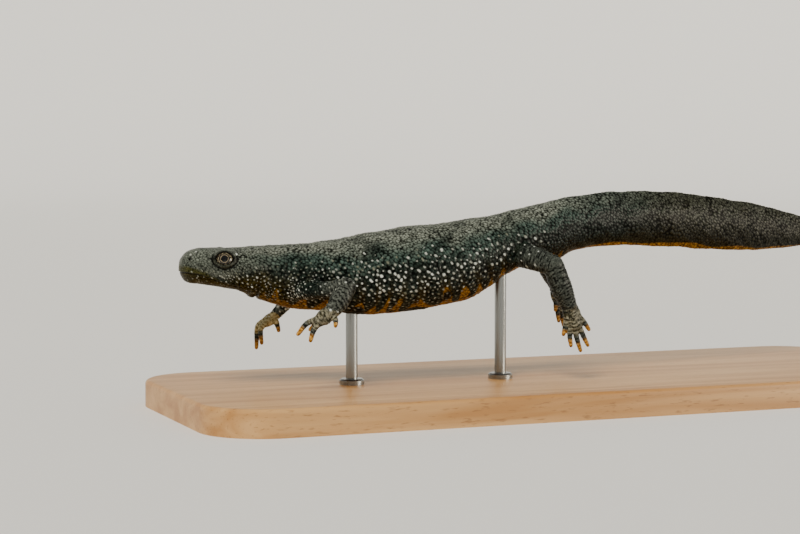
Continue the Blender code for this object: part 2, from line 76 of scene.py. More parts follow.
# Along the body: half width, height above and below the line, and how pinched the side and the edge are
sections = np.array(
    (
        (0.0, 3.5, 2.5, 3.0, 0.85, 0.90),
        (2.0, 3.95, 2.95, 3.0, 0.85, 0.90),
        (4.0, 4.3, 3.42, 3.15, 0.85, 0.90),
        (7.5, 4.85, 3.5, 3.75, 0.85, 0.90),
        (11.0, 5.6, 3.65, 4.25, 0.85, 0.90),
        (13.5, 5.55, 3.9, 5.1, 0.90, 0.95),
        (16.5, 5.0, 4.2, 6.0, 0.95, 1.00),
        (20.5, 5.2, 4.8, 6.75, 1.00, 1.00),
        (25.0, 6.0, 5.6, 6.85, 1.00, 1.00),
        (30.0, 6.7, 6.4, 7.15, 1.00, 0.95),
        (36.0, 7.5, 7.4, 7.75, 1.00, 0.95),
        (44.0, 7.9, 7.75, 7.75, 1.00, 0.95),
        (52.0, 7.3, 7.25, 7.7, 1.00, 0.95),
        (57.0, 6.2, 6.7, 6.6, 1.00, 1.00),
        (61.5, 5.2, 6.0, 5.4, 1.00, 1.00),
        (66.0, 4.7, 5.6, 5.0, 1.00, 1.00),
        (72.5, 4.0, 5.3, 5.5, 1.05, 1.00),
        (78.0, 3.2, 5.4, 4.95, 1.25, 1.00),
        (88.0, 2.6, 5.45, 5.2, 1.50, 1.00),
        (100.0, 2.2, 5.45, 5.5, 1.60, 1.00),
        (110.0, 1.9, 5.3, 5.5, 1.60, 1.00),
        (120.0, 1.6, 4.95, 5.1, 1.60, 1.00),
        (128.0, 1.3, 4.4, 4.5, 1.60, 1.00),
        (136.0, 1.05, 3.4, 3.5, 1.50, 1.00),
        (143.0, 0.8, 2.1, 2.2, 1.30, 1.00),
        (149.0, 0.45, 0.6, 0.6, 1.00, 1.00),
    )
)


def through(x, known, values):
    """A curve through the known values with no overshoot, by monotone cubic pieces."""
    x, known, values = (np.asarray(a, float) for a in (x, known, values))
    step = np.diff(known)
    slope = np.diff(values) / step
    tangent = np.zeros_like(values)
    tangent[0], tangent[-1] = slope[0], slope[-1]
    same = slope[:-1] * slope[1:] > 0
    inner = np.zeros(len(slope) - 1)
    inner[same] = 2 / (1 / slope[:-1][same] + 1 / slope[1:][same])
    tangent[1:-1] = inner
    i = np.clip(np.searchsorted(known, x) - 1, 0, len(step) - 1)
    t = np.clip((x - known[i]) / step[i], 0, 1)
    low = (1 + 2 * t) * (1 - t) ** 2 * values[i] + t * (1 - t) ** 2 * step[i] * tangent[i]
    high = t * t * (3 - 2 * t) * values[i + 1] + t * t * (t - 1) * step[i] * tangent[i + 1]
    return low + high


def unit(a):
    return a / np.maximum(np.linalg.norm(a, axis=-1, keepdims=True), 1e-9)


def axes_at(s):
    """Along the body to the tail, out to the newt's right, and up, for an array of places along it."""
    heading = np.radians(through(s, course[:, 0], course[:, 1]))
    climb = np.radians(through(s, course[:, 0], course[:, 2]))
    flat = np.cos(climb)
    along = np.stack((np.cos(heading) * flat, np.sin(heading) * flat, np.sin(climb)), axis=-1)
    right = unit(np.cross(np.broadcast_to((0.0, 0.0, 1.0), along.shape), along))
    return along, right, np.cross(along, right)


LINE_STEP = 0.25
line_at = np.arange(0.0, LENGTH + LINE_STEP, LINE_STEP)
line_along, line_right, line_up = axes_at(line_at)
line = SNOUT + np.concatenate((np.zeros((1, 3)), np.cumsum(line_along[:-1] * LINE_STEP, axis=0)))


def body_place(s, out, up):
    """The point at a place along the body, out to the right and up from its line."""
    s, out, up = np.broadcast_arrays(*(np.asarray(a, float) for a in (s, out, up)))
    along, right, rise = axes_at(s)
    i = np.clip((s / LINE_STEP).astype(int), 0, len(line) - 2)
    start = line[i] + along * (s - line_at[i])[..., None]
    return start + right * out[..., None] + rise * up[..., None]


# The rounded lengths at both ends: a blunt muzzle, which is fuller than an ellipse, and a round tail tip
MUZZLE, MUZZLE_BLUNT, TAIL_TIP, END_LEAST = 2.6, 2.4, 1.2, 0.04


def section(s):
    """Half width, heights above and below, and the pinches, with the muzzle and tail tip rounded off."""
    s = np.asarray(s, float)
    sizes = [through(s, sections[:, 0], sections[:, k]) for k in range(1, 6)]
    muzzle = np.clip(1 - s / MUZZLE, 0, 1)
    ends = (1 - muzzle**MUZZLE_BLUNT) ** (1 / MUZZLE_BLUNT)
    tip = np.clip((s - LENGTH) / TAIL_TIP + 1, 0, 1)
    ends = np.maximum(np.where(tip > 0, np.sqrt(1 - tip**2), ends), END_LEAST)
    return [size * ends for size in sizes[:3]] + sizes[3:]


def mesh_of_rings(rings):
    """A closed mesh through an array of rings, as (ring, point, xyz)."""
    count, around = rings.shape[:2]
    index = np.arange(count * around).reshape(count, around)
    turned = np.roll(index, -1, axis=1)
    quads = np.stack((index[:-1], turned[:-1], turned[1:], index[1:]), axis=-1).reshape(-1, 4)
    faces = [tuple(q) for q in quads.tolist()]
    faces += [tuple(index[0][::-1].tolist()), tuple(index[-1].tolist())]
    return rings.reshape(-1, 3), faces


def body_rings():
    """Rings from the snout to the tail tip, close together where the ends round off."""
    muzzle = MUZZLE * (1 - np.cos(np.radians(np.arange(0, 60, 5))))
    tail = LENGTH - TAIL_TIP * (1 - np.sin(np.radians(np.arange(15, 91, 15))))
    s = np.concatenate((muzzle, np.arange(1.5, LENGTH - TAIL_TIP, 0.5), tail))
    width, above, below, side, edge = (a[:, None] for a in section(s))
    angle = np.linspace(0, 2 * math.pi, 96, endpoint=False)[None, :]
    c, v = np.cos(angle), np.sin(angle)
    out = width * np.sign(c) * np.abs(c) ** side
    up = np.where(v > 0, above, below) * np.sign(v) * np.abs(v) ** edge
    return body_place(s[:, None], out, up)


shells = [mesh_of_rings(body_rings())]

# Legs
# The front pair reaches back and down with the hands hanging, and the hind pair trails. Each has a plump
# upper and lower half, a flat palm or sole, and round tapering digits, four in front and five behind.
# Places are (along the body, out from its middle plane, up, radius).
legs = {
    ("fore", "left"): (
        ((21.8, 2.6, -3.2, 2.1), (25.2, 7.7, -2.7, 1.45), (28.9, 9.3, -1.9, 1.6)),
        ((28.9, 9.3, -1.9, 1.75), (27.8, 10.2, -4.1, 1.75), (26.3, 10.8, -6.4, 1.35)),
        ((26.3, 10.8, -6.4, 1.3), (25.1, 11.1, -7.3, 1.45), (24.2, 11.2, -8.1, 1.1)),
        (0.25, 1.0, 0.25),
        (
            ((25.0, 10.6, -7.6), (24.0, 9.9, -8.8), (23.2, 9.5, -9.8)),
            ((24.6, 11.0, -7.5), (22.3, 11.2, -8.6), (20.9, 11.5, -10.6)),
            ((24.5, 11.2, -8.0), (23.4, 11.5, -9.8), (23.0, 11.8, -11.6)),
            ((26.3, 11.4, -7.0), (26.9, 11.8, -7.7), (26.9, 12.0, -8.7)),
        ),
    ),
    ("fore", "right"): (
        ((21.6, 2.6, -3.4, 2.1), (22.4, 7.0, -4.2, 1.55), (23.0, 9.8, -5.2, 1.3)),
        ((23.0, 9.8, -5.2, 1.35), (21.5, 9.9, -7.3, 1.2), (20.0, 10.0, -9.3, 0.95)),
        ((20.0, 10.0, -9.3, 0.95), (19.3, 10.0, -10.0, 1.2), (18.6, 10.0, -10.6, 1.05)),
        (0.55, 1.0, -0.25),
        (
            ((19.9, 9.5, -9.6), (20.5, 9.2, -10.7), (20.9, 9.0, -11.9)),
            ((18.9, 9.5, -10.3), (17.4, 8.9, -12.2), (17.9, 8.7, -14.5)),
            ((18.7, 10.1, -10.4), (16.9, 10.3, -12.3), (17.2, 10.5, -15.6)),
            ((18.7, 10.7, -10.1), (17.2, 11.6, -11.8), (17.4, 12.2, -13.9)),
        ),
    ),
    ("hind", "left"): (
        ((63.4, 2.0, -1.6, 2.5), (65.0, 6.8, -3.2, 2.2), (67.0, 9.5, -4.9, 1.9)),
        ((67.0, 9.5, -4.9, 1.95), (67.4, 9.9, -9.0, 2.0), (68.1, 10.1, -12.8, 1.5)),
        ((68.1, 10.1, -12.8, 1.5), (68.4, 10.1, -15.0, 1.9), (68.6, 10.2, -16.6, 1.7)),
        (0.1, 1.0, 0.1),
        (
            ((67.2, 10.0, -15.0), (66.2, 10.0, -16.8), (65.5, 9.9, -18.0)),
            ((67.6, 10.1, -15.8), (66.7, 10.3, -18.4), (66.4, 10.3, -20.4)),
            ((68.3, 10.2, -16.0), (68.1, 10.5, -19.2), (68.3, 10.6, -21.8)),
            ((69.0, 10.2, -15.8), (69.6, 10.6, -18.8), (70.3, 10.7, -21.2)),
            ((69.4, 10.2, -15.0), (70.6, 10.5, -16.8), (71.4, 10.6, -18.4)),
        ),
    ),
    ("hind", "right"): (
        ((64.2, 1.8, -1.6, 2.5), (69.2, 5.0, -3.4, 2.2), (74.0, 6.3, -4.8, 1.9)),
        ((74.0, 6.3, -4.8, 1.95), (75.9, 7.1, -8.4, 2.0), (77.6, 7.7, -11.8, 1.5)),
        ((77.6, 7.7, -11.8, 1.5), (78.3, 7.9, -14.0, 1.9), (78.7, 8.0, -15.5, 1.7)),
        (-0.2, 1.0, 0.1),
        (
            ((77.5, 7.7, -14.0), (76.8, 7.4, -15.8), (76.3, 7.2, -17.0)),
            ((77.8, 7.9, -14.8), (77.4, 7.8, -17.4), (77.3, 7.7, -19.4)),
            ((78.5, 8.0, -15.0), (78.8, 8.2, -18.2), (79.2, 8.3, -20.6)),
            ((79.1, 8.1, -14.8), (80.2, 8.5, -17.6), (81.1, 8.8, -19.8)),
            ((79.5, 8.2, -14.0), (81.0, 8.7, -15.6), (82.0, 9.0, -17.0)),
        ),
    ),
}
DIGIT_RADII = (0.62, 0.52, 0.38)
# Palms and soles are about half as thick as wide, and digits a little flattened
FLAT_PALM, FLAT_DIGIT = 0.55, 0.85
# The parts of a limb, from the body outwards
UPPER, LOWER, PALM, DIGIT = 1, 2, 3, 4
# Points along every limb, as (x, y, z, radius, how far from the shoulder in mm, part, how near the tip)
limb_points = []


def limb_tube(places, spacing, part, walked=0.0, faces=None, squash=1.0):
    """Adds a bent tube with domed ends, and remembers its middle line for the skin's pattern."""
    places = np.array(places)
    known = np.arange(len(places), dtype=float)
    reach = np.linalg.norm(np.diff(places[:, :3], axis=0), axis=1).sum()
    at = np.linspace(0, known[-1], max(int(reach / spacing), 6))
    middle = np.stack([through(at, known, places[:, k]) for k in range(3)], axis=-1)
    radius = through(at, known, places[:, 3])
    steps = np.concatenate(([0.0], np.cumsum(np.linalg.norm(np.diff(middle, axis=0), axis=1))))
    for point, r, step in zip(middle, radius, steps):
        limb_points.append((*point, r, walked + step, part, step / steps[-1]))
    dome = np.radians(np.arange(15, 90, 15))
    first, last = unit(middle[0] - middle[1]), unit(middle[-1] - middle[-2])
    lead = middle[0] + first * (np.sin(dome)[::-1, None] * radius[0])
    tail = middle[-1] + last * (np.sin(dome)[:, None] * radius[-1])
    middle = np.concatenate((lead, middle, tail))
    radius = np.concatenate((radius[0] * np.cos(dome)[::-1], radius, radius[-1] * np.cos(dome)))
    along = unit(np.gradient(middle, axis=0))
    # Round limbs only need some direction that none of them runs along
    guide = np.array((0.12, 0.31, 0.94)) if faces is None else faces
    thin = unit(guide - (along @ guide)[:, None] * along)
    wide = np.cross(along, thin)
    angle = np.linspace(0, 2 * math.pi, 24, endpoint=False)
    ring = wide[:, None] * np.cos(angle)[None, :, None] + thin[:, None] * (squash * np.sin(angle))[None, :, None]
    shells.append(mesh_of_rings(middle[:, None] + ring * radius[:, None, None]))
    return walked + steps[-1]


for (_, side), (upper, lower, plate, facing, digits) in legs.items():
    sign = -1 if side == "left" else 1

    def leg_places(spots):
        return [(*body_place(p[0], sign * p[1], p[2]), p[3]) for p in spots]

    walked = limb_tube(leg_places(upper), 0.3, UPPER)
    walked = limb_tube(leg_places(lower), 0.3, LOWER, walked)
    along, right, rise = axes_at(plate[1][0])
    faces = unit(along * facing[0] + right * sign * facing[1] + rise * facing[2])
    walked = limb_tube(leg_places(plate), 0.25, PALM, walked, faces, FLAT_PALM)
    for digit in digits:
        spots = [(*place, radius) for place, radius in zip(digit, DIGIT_RADII)]
        limb_tube(leg_places(spots), 0.2, DIGIT, walked, faces, FLAT_DIGIT)

# One skin
# The newt's skin runs unbroken over body and limbs, so the forms are melted into one surface, whose
# corners at the shoulders, hips, elbows and webs are then eased.
# In millimetres
VOXEL = 0.13
points, faces = [], []
for shell_points, shell_faces in shells:
    first = sum(len(p) for p in points)
    points.append(shell_points)
    faces += [tuple(first + i for i in face) for face in shell_faces]
mesh = bpy.data.meshes.new("newt_skin")
mesh.from_pydata(np.concatenate(points).tolist(), [], faces)
skin = bpy.data.objects.new("newt_skin", mesh)
bpy.context.scene.collection.objects.link(skin)


def keep_evaluated(obj):
    """Makes what a modifier shows the object's own mesh."""
    graph = bpy.context.evaluated_depsgraph_get()
    made = bpy.data.meshes.new_from_object(obj.evaluated_get(graph))
    obj.modifiers.clear()
    obj.data = made
    return made


melt = skin.modifiers.new("Melt", "REMESH")
melt.mode = "VOXEL"
melt.voxel_size = VOXEL
melt.use_smooth_shade = True
keep_evaluated(skin)


def vertices(obj):
    flat = np.empty(len(obj.data.vertices) * 3)
    obj.data.vertices.foreach_get("co", flat)
    return flat.reshape(-1, 3)


def move_vertices(obj, places):
    obj.data.vertices.foreach_set("co", places.ravel())
    obj.data.update()


def normals(obj):
    flat = np.empty(len(obj.data.vertices) * 3)
    obj.data.vertex_normals.foreach_get("vector", flat)
    return flat.reshape(-1, 3)


def edges(obj):
    flat = np.empty(len(obj.data.edges) * 2, dtype=np.int64)
    obj.data.edges.foreach_get("vertices", flat)
    return flat.reshape(-1, 2)


def relax(places, links, weight, times):
    """Moves each point part of the way to the middle of its neighbours."""
    count = np.bincount(links.ravel(), minlength=len(places))[:, None]
    for _ in range(times):
        total = np.zeros_like(places)
        for one, two in ((0, 1), (1, 0)):
            for axis in range(3):
                total[:, axis] += np.bincount(links[:, one], places[links[:, two], axis], len(places))
        places = places + weight[:, None] * (total / np.maximum(count, 1) - places)
    return places


def body_spot(places):
    """Where each point is: along the body, out to the right and up from its line."""
    # Against every second point of the line, a batch at a time to spare memory
    batch, every = 20000, 2
    best = np.empty(len(places), dtype=np.int64)
    for start in range(0, len(places), batch):
        near = places[start : start + batch]
        gap = ((near[:, None, :] - line[None, ::every, :]) ** 2).sum(axis=-1)
        best[start : start + batch] = gap.argmin(axis=1) * every
    offset = places - line[best]
    step = (offset * line_along[best]).sum(axis=-1)
    s = line_at[best] + np.clip(step, -3, 3)
    return s, (offset * line_right[best]).sum(axis=-1), (offset * line_up[best]).sum(axis=-1)


def limb_spot(places):
    """For each point the nearest limb line: how many of its radii away, and that line's own values."""
    known = np.array(limb_points)
    tree = kdtree.KDTree(len(known))
    for i, row in enumerate(known):
        tree.insert(row[:3], i)
    tree.balance()
    found = np.array([tree.find(p)[1:] for p in places.tolist()])
    row = known[found[:, 0].astype(int)]
    return found[:, 1] / row[:, 3], row[:, 4], row[:, 5], row[:, 6]


skin_places = vertices(skin)
s, out, up = body_spot(skin_places)
width, above, below = section(np.clip(s, 0, LENGTH))[:3]
# 1 on the body's own form, more outside it
shape = np.sqrt((out / width) ** 2 + (up / np.where(up > 0, above, below)) ** 2)
radii_away, walked, part, tipward = limb_spot(skin_places)
on_limb = radii_away < 1.6
# 0 on the body, 1 on a limb, and between the two where they meet
limb = np.clip((shape - 1.02) / 0.16, 0, 1) * on_limb
corner = np.clip(1 - np.abs(limb - 0.5) * 1.6, 0, 1)
corner = np.where((part == UPPER) & on_limb, np.maximum(corner, 0.25), corner)
skin_places = relax(skin_places, edges(skin), 0.6 * np.clip(corner + 0.12, 0, 1), 12)
move_vertices(skin, skin_places)

# Face
# Short rounded snout, a long mouth that curves down to its corner below the eye, two small nostrils, and
# eyes that bulge from the sides of the skull, each in a thick rim of lid with a fold round it.
# Middle of the eyeball (along the body, out, up), its radius, and how many degrees it looks ahead and up
EYE_AT, EYE_RADIUS, EYE_FORWARD, EYE_UP = (7.9, 3.75, 1.45), 1.7, 12.0, 14.0
# The opening between the lids, as half its length and its reach above and below the middle, and the lids'
# thickness over the eyeball and tuck behind its surface
LIDS_LONG, LIDS_ABOVE, LIDS_BELOW, LID_THICK, LID_TUCK = 1.68, 1.3, 1.15, 0.26, 0.45
# The fold outside the lids, measured as the opening is
FOLD_LONG, FOLD_ABOVE, FOLD_BELOW = 2.35, 2.0, 1.8
# The bulge over the eyeball: outwards, along and up, and how far from its middle it reaches at most
BULGE, EYE_REACH = (2.25, 2.35, 1.95), 3.6
# The nostrils, along the body and in degrees up from the side
NOSTRIL_AT, NOSTRIL_ANGLE = 1.5, 34.0
# The mouth's line, along the body and up
mouth_line = np.array(
    ((-1.0, -0.95), (0.8, -1.0), (2.6, -1.1), (4.4, -1.55), (6.4, -2.3), (8.6, -2.9), (10.4, -3.25), (12.0, -3.6))
)


def refine(obj, chosen):
    """Splits each face whose corners are all chosen into four."""
    bm = bmesh.new()
    bm.from_mesh(obj.data)
    inside = [e for e in bm.edges if chosen[e.verts[0].index] and chosen[e.verts[1].index]]
    bmesh.ops.subdivide_edges(bm, edges=inside, cuts=1, use_grid_fill=True, smooth=0.0)
    bm.to_mesh(obj.data)
    bm.free()
    obj.data.shade_smooth()


def eye_axes(side):
    """Middle of the eye, the way it looks, its front and its top."""
    along, right, rise = axes_at(EYE_AT[0])
    turn, tilt = math.radians(90 + EYE_FORWARD), math.radians(EYE_UP)
    flat = along * math.cos(turn) + right * (side * math.sin(turn))
    look = flat * math.cos(tilt) + rise * math.sin(tilt)
    top = rise * math.cos(tilt) - flat * math.sin(tilt)
    front = unit(np.cross(top, look)) * side
    middle = body_place(EYE_AT[0], side * EYE_AT[1], EYE_AT[2])
    return middle, look, front, top


def ramp(x, low, high):
    """0 below low and 1 above high, with a soft step between."""
    t = np.clip((x - low) / (high - low), 0, 1)
    return t * t * (3 - 2 * t)


def bell(x, middle, width):
    return np.exp(-(((x - middle) / width) ** 2))


def almond(x, y):
    """1 on an outline a little more pointed at its ends than an ellipse, less inside it."""
    return (np.abs(x) ** 1.75 + np.abs(y) ** 1.75) ** (1 / 1.75)


# The head ends here, and its finer points are eased a little further back
HEAD, HEAD_EASED = 12.6, 13.5
refine(skin, body_spot(vertices(skin))[0] < HEAD)
skin_places = vertices(skin)
skin_places = relax(skin_places, edges(skin), np.where(body_spot(skin_places)[0] < HEAD_EASED, 0.5, 0.0), 4)
move_vertices(skin, skin_places)
s, out, up = body_spot(skin_places)
face = normals(skin)
push = np.zeros(len(skin_places))
# How deep in a groove each point is, from 0 to 1, for the painted shade that darkens it
crease_shade = np.zeros(len(skin_places))
# The slit of the mouth, the upper lip that swells over it, and the lower lip a little behind
over_mouth = up - through(s, mouth_line[:, 0], mouth_line[:, 1])
mouth = 1 - ramp(s, 10.4, 11.6)
push -= 0.24 * bell(over_mouth, -0.04, 0.13) * mouth
push += 0.10 * bell(over_mouth, 0.30, 0.25) * mouth * ramp(s, 0.2, 2.0)
push -= 0.14 * ramp(-over_mouth, 0.0, 0.25) * (1 - ramp(-over_mouth, 0.9, 1.8)) * mouth
# Painted shade in the mouth's slit
crease_shade = np.maximum(crease_shade, bell(over_mouth, -0.04, 0.13) * mouth)
nostril = np.zeros(len(skin_places))
for side in (1, -1):
    width, above, _, pinch, edge = section(NOSTRIL_AT)
    angle = math.radians(NOSTRIL_ANGLE)
    hole = body_place(NOSTRIL_AT, side * width * math.cos(angle) ** pinch, above * math.sin(angle) ** edge)
    # A small pit with a low rim round it
    away = np.linalg.norm(skin_places - hole, axis=1)
    push += 0.08 * bell(away, 0.5, 0.2) - 0.7 * bell(away, 0, 0.24)
    nostril = np.maximum(nostril, 1 - ramp(away, 0.2, 0.38))
# Painted shade in the nostrils
crease_shade = np.maximum(crease_shade, nostril)
# The fold across the throat, and the female's low vent behind the hind legs
low = ramp(-up, 1.2, 3.4)
push += low * (0.30 * bell(s, 13.2, 0.55) - 0.34 * bell(s, 14.15, 0.3))
# Painted shade in the throat fold
crease_shade = np.maximum(crease_shade, 0.7 * low * bell(s, 14.2, 0.22))
middle_below = ramp(-up, 2.0, 4.0) * bell(out, 0, 1.5)
push += 0.55 * bell(s, 73.5, 2.4) * middle_below * (1 - 0.7 * bell(out, 0, 0.22) * bell(s, 73.8, 1.5))
# Painted shade in the vent
crease_shade = np.maximum(crease_shade, bell(out, 0, 0.16) * bell(s, 73.8, 1.4) * middle_below)
skin_places = skin_places + face * push[:, None]
lid_rim = np.zeros(len(skin_places))
for side in (1, -1):
    middle, look, front, top = eye_axes(side)
    rel = skin_places - middle
    # The bulge over the eyeball, melted into the side of the head
    away = np.linalg.norm(rel, axis=1)
    squashed = np.stack((rel @ look, rel @ front, rel @ top), axis=-1) / BULGE
    bulge = away / np.linalg.norm(squashed, axis=1) - away
    share = np.clip(0.5 + bulge, 0, 1) * (away < EYE_REACH)
    swell = (bulge * share + 0.5 * share * (1 - share)) * ramp(rel @ look, -1.4, -0.6)
    rel = rel * (1 + swell / away)[:, None]
    skin_places = middle + rel
    depth, fore, rise = rel @ look, rel @ front, rel @ top
    flat_radius = np.hypot(fore, rise)
    near = (depth > -1.2) & (flat_radius < EYE_REACH)
    deep = depth.copy()
    # The fold that runs round outside the lids, deepest below and behind the eye
    fold = almond(fore / FOLD_LONG, rise / np.where(rise > 0, FOLD_ABOVE, FOLD_BELOW))
    fold_share = bell(fold, 1, 0.085) * (1 - 0.85 * ramp(rise, 0.5, 1.4))
    deep -= 0.26 * fold_share
    # The short groove that leads forward from the front corner
    groove = bell(rise, 0.05, 0.24) * ramp(fore, 1.6, 2.0) * (1 - ramp(fore, 2.8, 3.4))
    deep -= 0.15 * groove
    # The lids hug the eyeball, and inside their opening the skin passes behind it
    slit = almond(fore / LIDS_LONG, rise / np.where(rise > 0, LIDS_ABOVE, LIDS_BELOW))
    hug = np.sqrt(np.maximum((EYE_RADIUS + LID_THICK) ** 2 - flat_radius**2, 0))
    deep = deep + (np.maximum(hug, deep - 0.5) - deep) * (1 - ramp(slit, 1.0, 1.5))
    inside = np.sqrt(np.maximum(EYE_RADIUS**2 - flat_radius**2, 0)) - LID_TUCK
    deep = deep + (inside - deep) * (1 - ramp(slit, 0.88, 1.0))
    skin_places = np.where(near[:, None], skin_places + look * (deep - depth)[:, None], skin_places)
    outward = near & (depth > -0.6)
    # Painted shade in the fold round the lids, in the groove at the front corner and along the edge of the opening
    shade = np.maximum(bell(slit, 0.98, np.where(rise > 0, 0.2, 0.1)), np.maximum(fold_share, 0.85 * groove))
    crease_shade = np.maximum(crease_shade, np.where(outward, shade, 0))
    # Smooth all the way down to the fold below the eye, but only at the edge above it
    rim = 1 - np.maximum(ramp(fold, 0.94, 1.1), ramp(slit - 0.5 * ramp(-rise, -0.4, 0.4), 1.12, 1.34))
    lid_rim = np.maximum(lid_rim, np.where(outward, rim, 0))
move_vertices(skin, skin_places)

# Warts, wrinkles and flecks
# The whole skin is granular: close fine grains on the back, larger ones on the flanks, and white-tipped warts
# from the cheeks along the lower flanks. The limbs wrinkle across, and the flanks fold between the ribs.
rng = np.random.default_rng(7)
s, out, up = body_spot(skin_places)
face = normals(skin)
width, above, below = section(np.clip(s, 0, LENGTH))[:3]
level = np.arctan2(up / np.where(up > 0, above, below), np.abs(out) / width)
# 0 along the middle of the belly, 0.5 at the side, 1 along the middle of the back
height = level / math.pi + 0.5
shape = np.sqrt((out / width) ** 2 + (up / np.where(up > 0, above, below)) ** 2)
radii_away, walked, part, tipward = limb_spot(skin_places)
limb = ramp(shape, 1.04, 1.22) * (radii_away < 2.0)
trunk = 1 - limb
# The forelegs reach back less far than this, and the hind legs start behind it
front_pair = s < 45
# The right foreleg, whose palm and digits are paler than the left one's: partly their own colour, partly painted
# light that lifts the leg out of the body's shadow
far_arm = limb * ((out > 0) & front_pair)
snout = 1 - ramp(s, 9.0, 16.0)
tail_share = ramp(s, 72.0, 84.0)


def waves(size, seed):
    """Smooth unevenness over the skin from a few crossing waves, about -1 to 1, with bumps of this size."""
    roll = np.random.default_rng(seed)
    total = np.zeros(len(skin_places))
    for _ in range(7):
        way = unit(roll.normal(size=3)) * roll.uniform(0.6, 1.5) * math.pi / size
        total += np.sin(skin_places @ way + roll.uniform(0, 6.3))
    return total / 3.2


def tree_of(places):
    tree = kdtree.KDTree(len(places))
    for k, place in enumerate(places.tolist()):
        tree.insert(place, k)
    tree.balance()
    return tree


def scatter(places, spacing, seed):
    """Picks places that stay their own spacing apart, in a random but repeatable order."""
    tree = tree_of(places)
    free = spacing > 0
    order = np.random.default_rng(seed).permutation(len(places))
    spots, gaps = places.tolist(), spacing.tolist()
    kept = []
    for i in order.tolist():
        if free[i]:
            kept.append(i)
            free[[found[1] for found in tree.find_range(spots[i], gaps[i])]] = False
    return np.array(kept)


def nearest(places, kept):
    """For each place how far the nearest kept one is, how much further the next is, and which the first is."""
    tree = tree_of(places[kept])
    found = np.array([[n[1:] for n in tree.find_n(place, 2)] for place in places.tolist()])
    return found[:, 0, 1], found[:, 1, 1] - found[:, 0, 1], found[:, 0, 0].astype(int)


# Grains are longer than wide and lean back and down, so they are picked in a space squeezed that way
LEAN = unit(np.array((0.75, 0.0, -0.65)))
squeezed = skin_places - 0.34 * (skin_places @ LEAN)[:, None] * LEAN
# Uneven edges, where neighbouring grains run into one another
squeezed += 0.07 * np.stack([waves(0.45, seed) for seed in (81, 83, 85)], axis=-1)
uneven = rng.uniform(0.75, 1.4, len(squeezed))
grain_gap = 0.42 - 0.13 * snout - 0.1 * limb - 0.05 * ramp(height, 0.55, 0.8) * (1 - snout)
grains = scatter(squeezed, (grain_gap + 0.05 * waves(2.0, 29)) * uneven, 11)
distance, border, which = nearest(squeezed, grains)
grain_size = rng.uniform(0.0, 1.0, len(grains))[which]
dome = np.clip(1 - (distance / (grain_gap * (0.66 + 0.3 * grain_size))) ** 2, 0, 1)
grain = dome**0.7 * ramp(border, -0.04, 0.16)

# White-tipped warts: dense on the cheeks and throat, larger and further apart on the lower flanks
top_of_flecks = 0.61 - 0.14 * (1 - ramp(s, 12, 24)) + 0.04 * waves(5.0, 3)
dense = (1 - ramp(height, top_of_flecks - 0.05, top_of_flecks + 0.05)) * (1 - limb * ramp(walked, 4.0, 8.0))
dense = np.maximum(dense, 0.8 * limb * np.maximum((part == UPPER) * front_pair, far_arm * (part != DIGIT)))
dense *= ramp(height, 0.05, 0.18) * ramp(s, 1.0, 3.0)
lip = bell(over_mouth, 0.65, 0.3) * ramp(s, 1.0, 2.4) * (1 - ramp(s, 7.0, 10.0)) * trunk
dense = np.maximum(dense, lip) * (1 - bell(over_mouth, 0.0, 0.35) * (s < 11))
dense *= 1 - 0.93 * ramp(s, 52.0, 72.0)
cluster = waves(1.9, 5)
trunk_share = ramp(s, 20.0, 32.0)
fleck_gap = 0.44 + 0.26 * trunk_share + 0.28 * np.clip(0.45 - cluster, 0, 2)
fleck_gap += 0.9 * (1 - dense) - 0.15 * far_arm
warts = scatter(skin_places, np.where(dense > 0.1, fleck_gap, 0), 23)
distance, border, which = nearest(squeezed, warts)
wart_size = rng.uniform(0.14, 0.34, len(warts)) * (0.55 + 0.29 * trunk_share[warts])
wart_size = wart_size[which] * (1 + 0.2 * waves(0.35, 9)) * (1 + 0.5 * far_arm)
lump = np.clip(1 - (distance / (wart_size * 1.6)) ** 2, 0, 1)
bright_row = bell(height, 0.34 + 0.13 * ramp(s, 26.0, 34.0), 0.09)
wart_white = np.clip(rng.uniform(-0.28, 0.52, len(warts))[which] + 0.55 * bright_row, 0, 1)
# Brighter flecks on the right foreleg: partly painted light against the body's shadow
wart_white = np.maximum(wart_white, 0.85 * far_arm)
wart_white *= (1 - 0.5 * tail_share) * (0.45 + 0.55 * ramp(s, 9.0, 14.0))
fleck = ramp(1 - distance / wart_size, 0, 0.55)

# The belly's orange, its upper edge broken by dark bars about 3 mm apart, and with black blotches
BAR_SPACING = 3.3
bar_phase = s / BAR_SPACING + 0.35 * np.sin(s / 2.9) + 0.25 * waves(6.0, 31)
bar = 0.85 * np.sin(2 * math.pi * bar_phase) + 0.4 * waves(2.4, 33)
bar *= 1 - 0.8 * bell(s, 19.5, 3.0)
orange_top = 0.19 + 0.11 * bar + 0.09 * bell(s, 17.6, 1.0) + 0.03 * bell(s, 52, 7) - 0.05 * ramp(s, 58, 68)
orange = ramp(orange_top - height, -0.012, 0.014) * ramp(s, 13.5, 17.5) * (1 - ramp(s, 70, 77)) * trunk
orange *= 0.7 + 0.3 * ramp(s, 20, 28)
blotch = orange * ramp(waves(3.6, 41), 0.42, 0.52) * ramp(s, 24, 30)
tail_edge = ramp(0.125 + 0.03 * waves(5.0, 43) - height, -0.01, 0.02) * ramp(s, 74, 80)
